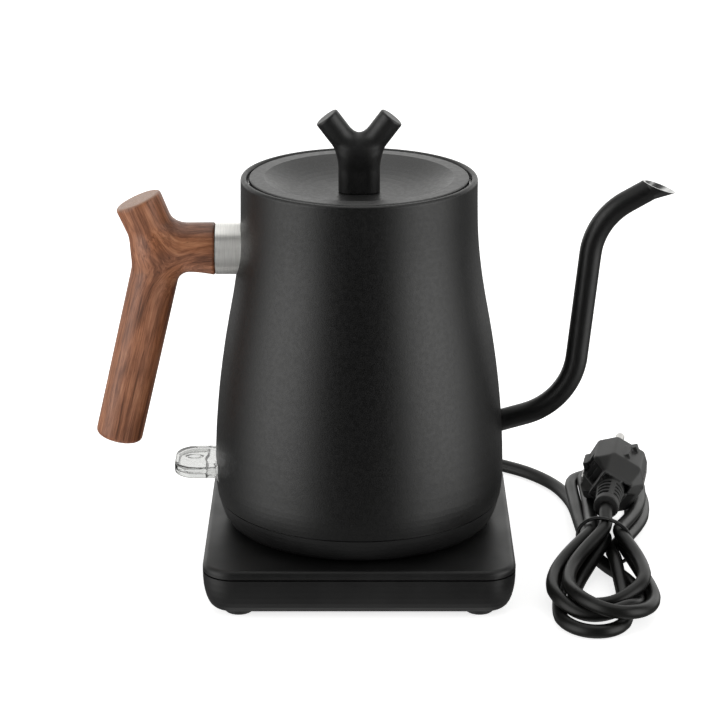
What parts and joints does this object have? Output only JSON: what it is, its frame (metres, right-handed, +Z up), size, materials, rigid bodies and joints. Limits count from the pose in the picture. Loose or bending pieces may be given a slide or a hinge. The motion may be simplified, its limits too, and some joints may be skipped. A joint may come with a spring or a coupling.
{
  "type": "electric kettle",
  "caption": "Gooseneck electric kettle, matte black with a wooden branch handle and twig knob, on a square cordless power base with its tied mains cord and plug.",
  "frame": {"origin": "where the kettle's upright axis meets the floor that the feet stand on", "axes": "+Z up; +X towards the spout, so the handle and the switch are at -X; +Y to the back, where the cord leaves"},
  "size_m": [0.2926, 0.2505, 0.2405],
  "materials": {
    "black_plastic": "matte, fine moulded texture",
    "black_rubber": "matte",
    "zinc_steel": "satin",
    "brass": "satin",
    "cord_black": "satin",
    "tie_black": "satin",
    "plug_black": "satin moulded",
    "nickel": "polished nickel",
    "wire_brown": "satin",
    "wire_blue": "satin",
    "wire_green": "satin",
    "wire_red": "satin",
    "black_paint": "matte powder coat",
    "lid_paint": "matte powder coat",
    "knob_paint": "matte powder coat",
    "steel": "satin stainless",
    "brushed_steel": "brushed round the sleeve",
    "aluminium": "cast",
    "element_sheath": "dull",
    "bimetal": "satin",
    "walnut": "oiled walnut, satin",
    "clear_plastic": "clear polished plastic",
    "lamp_clear": "clear",
    "silicone": "matte"
  },
  "bodies": {
    "base": {"base_bottom": "black_plastic", "base_top": "black_plastic", "base_feet": "black_rubber", "base_screws": "zinc_steel", "base_socket": "black_plastic", "base_socket_contacts": "brass", "cord_grip": "black_plastic", "cord_grip_screws": "zinc_steel", "strain_relief": "cord_black", "live_wire": "wire_brown", "neutral_wire": "wire_blue", "earth_wire": "wire_green", "cord_lead": "cord_black", "cord_hank": "cord_black", "cord_tie": "tie_black", "cord_tail": "cord_black", "plug_body": "plug_black", "plug_pins": "nickel", "plug_earth_clips": "nickel"},
    "earth_contact": {"earth_ring": "brass"},
    "kettle": {"kettle_shell": "black_paint", "lid_seat_ring": "steel", "spout": "black_paint", "handle_grip": "walnut", "handle_ferrule": "brushed_steel", "handle_bracket": "steel", "handle_stud": "zinc_steel", "handle_nut": "zinc_steel", "heating_plate": "steel", "heat_spreader": "aluminium", "heating_element": "element_sheath", "element_terminals": "zinc_steel", "control_unit": "black_plastic", "connector_pin": "brass", "neutral_ring": "brass", "overheat_discs": "bimetal", "steam_tube": "steel", "steam_disc": "bimetal", "switch_bracket": "black_plastic", "switch_pivot_pin": "zinc_steel", "switch_lamp": "lamp_clear", "lamp_wires": "wire_red", "shell_brackets": "steel", "bottom_cover": "black_plastic", "bottom_cover_screws": "zinc_steel"},
    "switch": {"switch_paddle": "clear_plastic", "switch_rocker": "black_plastic"},
    "seal": {"lid_seal": "silicone"},
    "lid": {"lid_top": "lid_paint", "lid_cup": "steel", "lid_knob": "knob_paint", "lid_screw": "zinc_steel", "lid_washer": "zinc_steel"}
  },
  "joints": [
    {"name": "kettle_lift", "type": "slide", "parent": "base", "child": "earth_contact", "axis": [0, 0, 1], "range_m": [0, 0.12]},
    {"name": "kettle_swivel", "type": "hinge", "parent": "earth_contact", "child": "kettle", "pos_m": [0, 0, 0.04], "axis": [0, 0, 1], "continuous": true},
    {"name": "switch_rock", "type": "hinge", "parent": "kettle", "child": "switch", "pos_m": [-0.063, 0, 0.053], "axis": [0, -1, 0], "range_deg": [0, 10]},
    {"name": "lid_lift", "type": "slide", "parent": "kettle", "child": "seal", "axis": [0, 0, 1], "range_m": [0, 0.1]},
    {"name": "lid_turn", "type": "hinge", "parent": "seal", "child": "lid", "pos_m": [0, 0, 0.2], "axis": [0, 0, 1], "continuous": true}
  ]
}
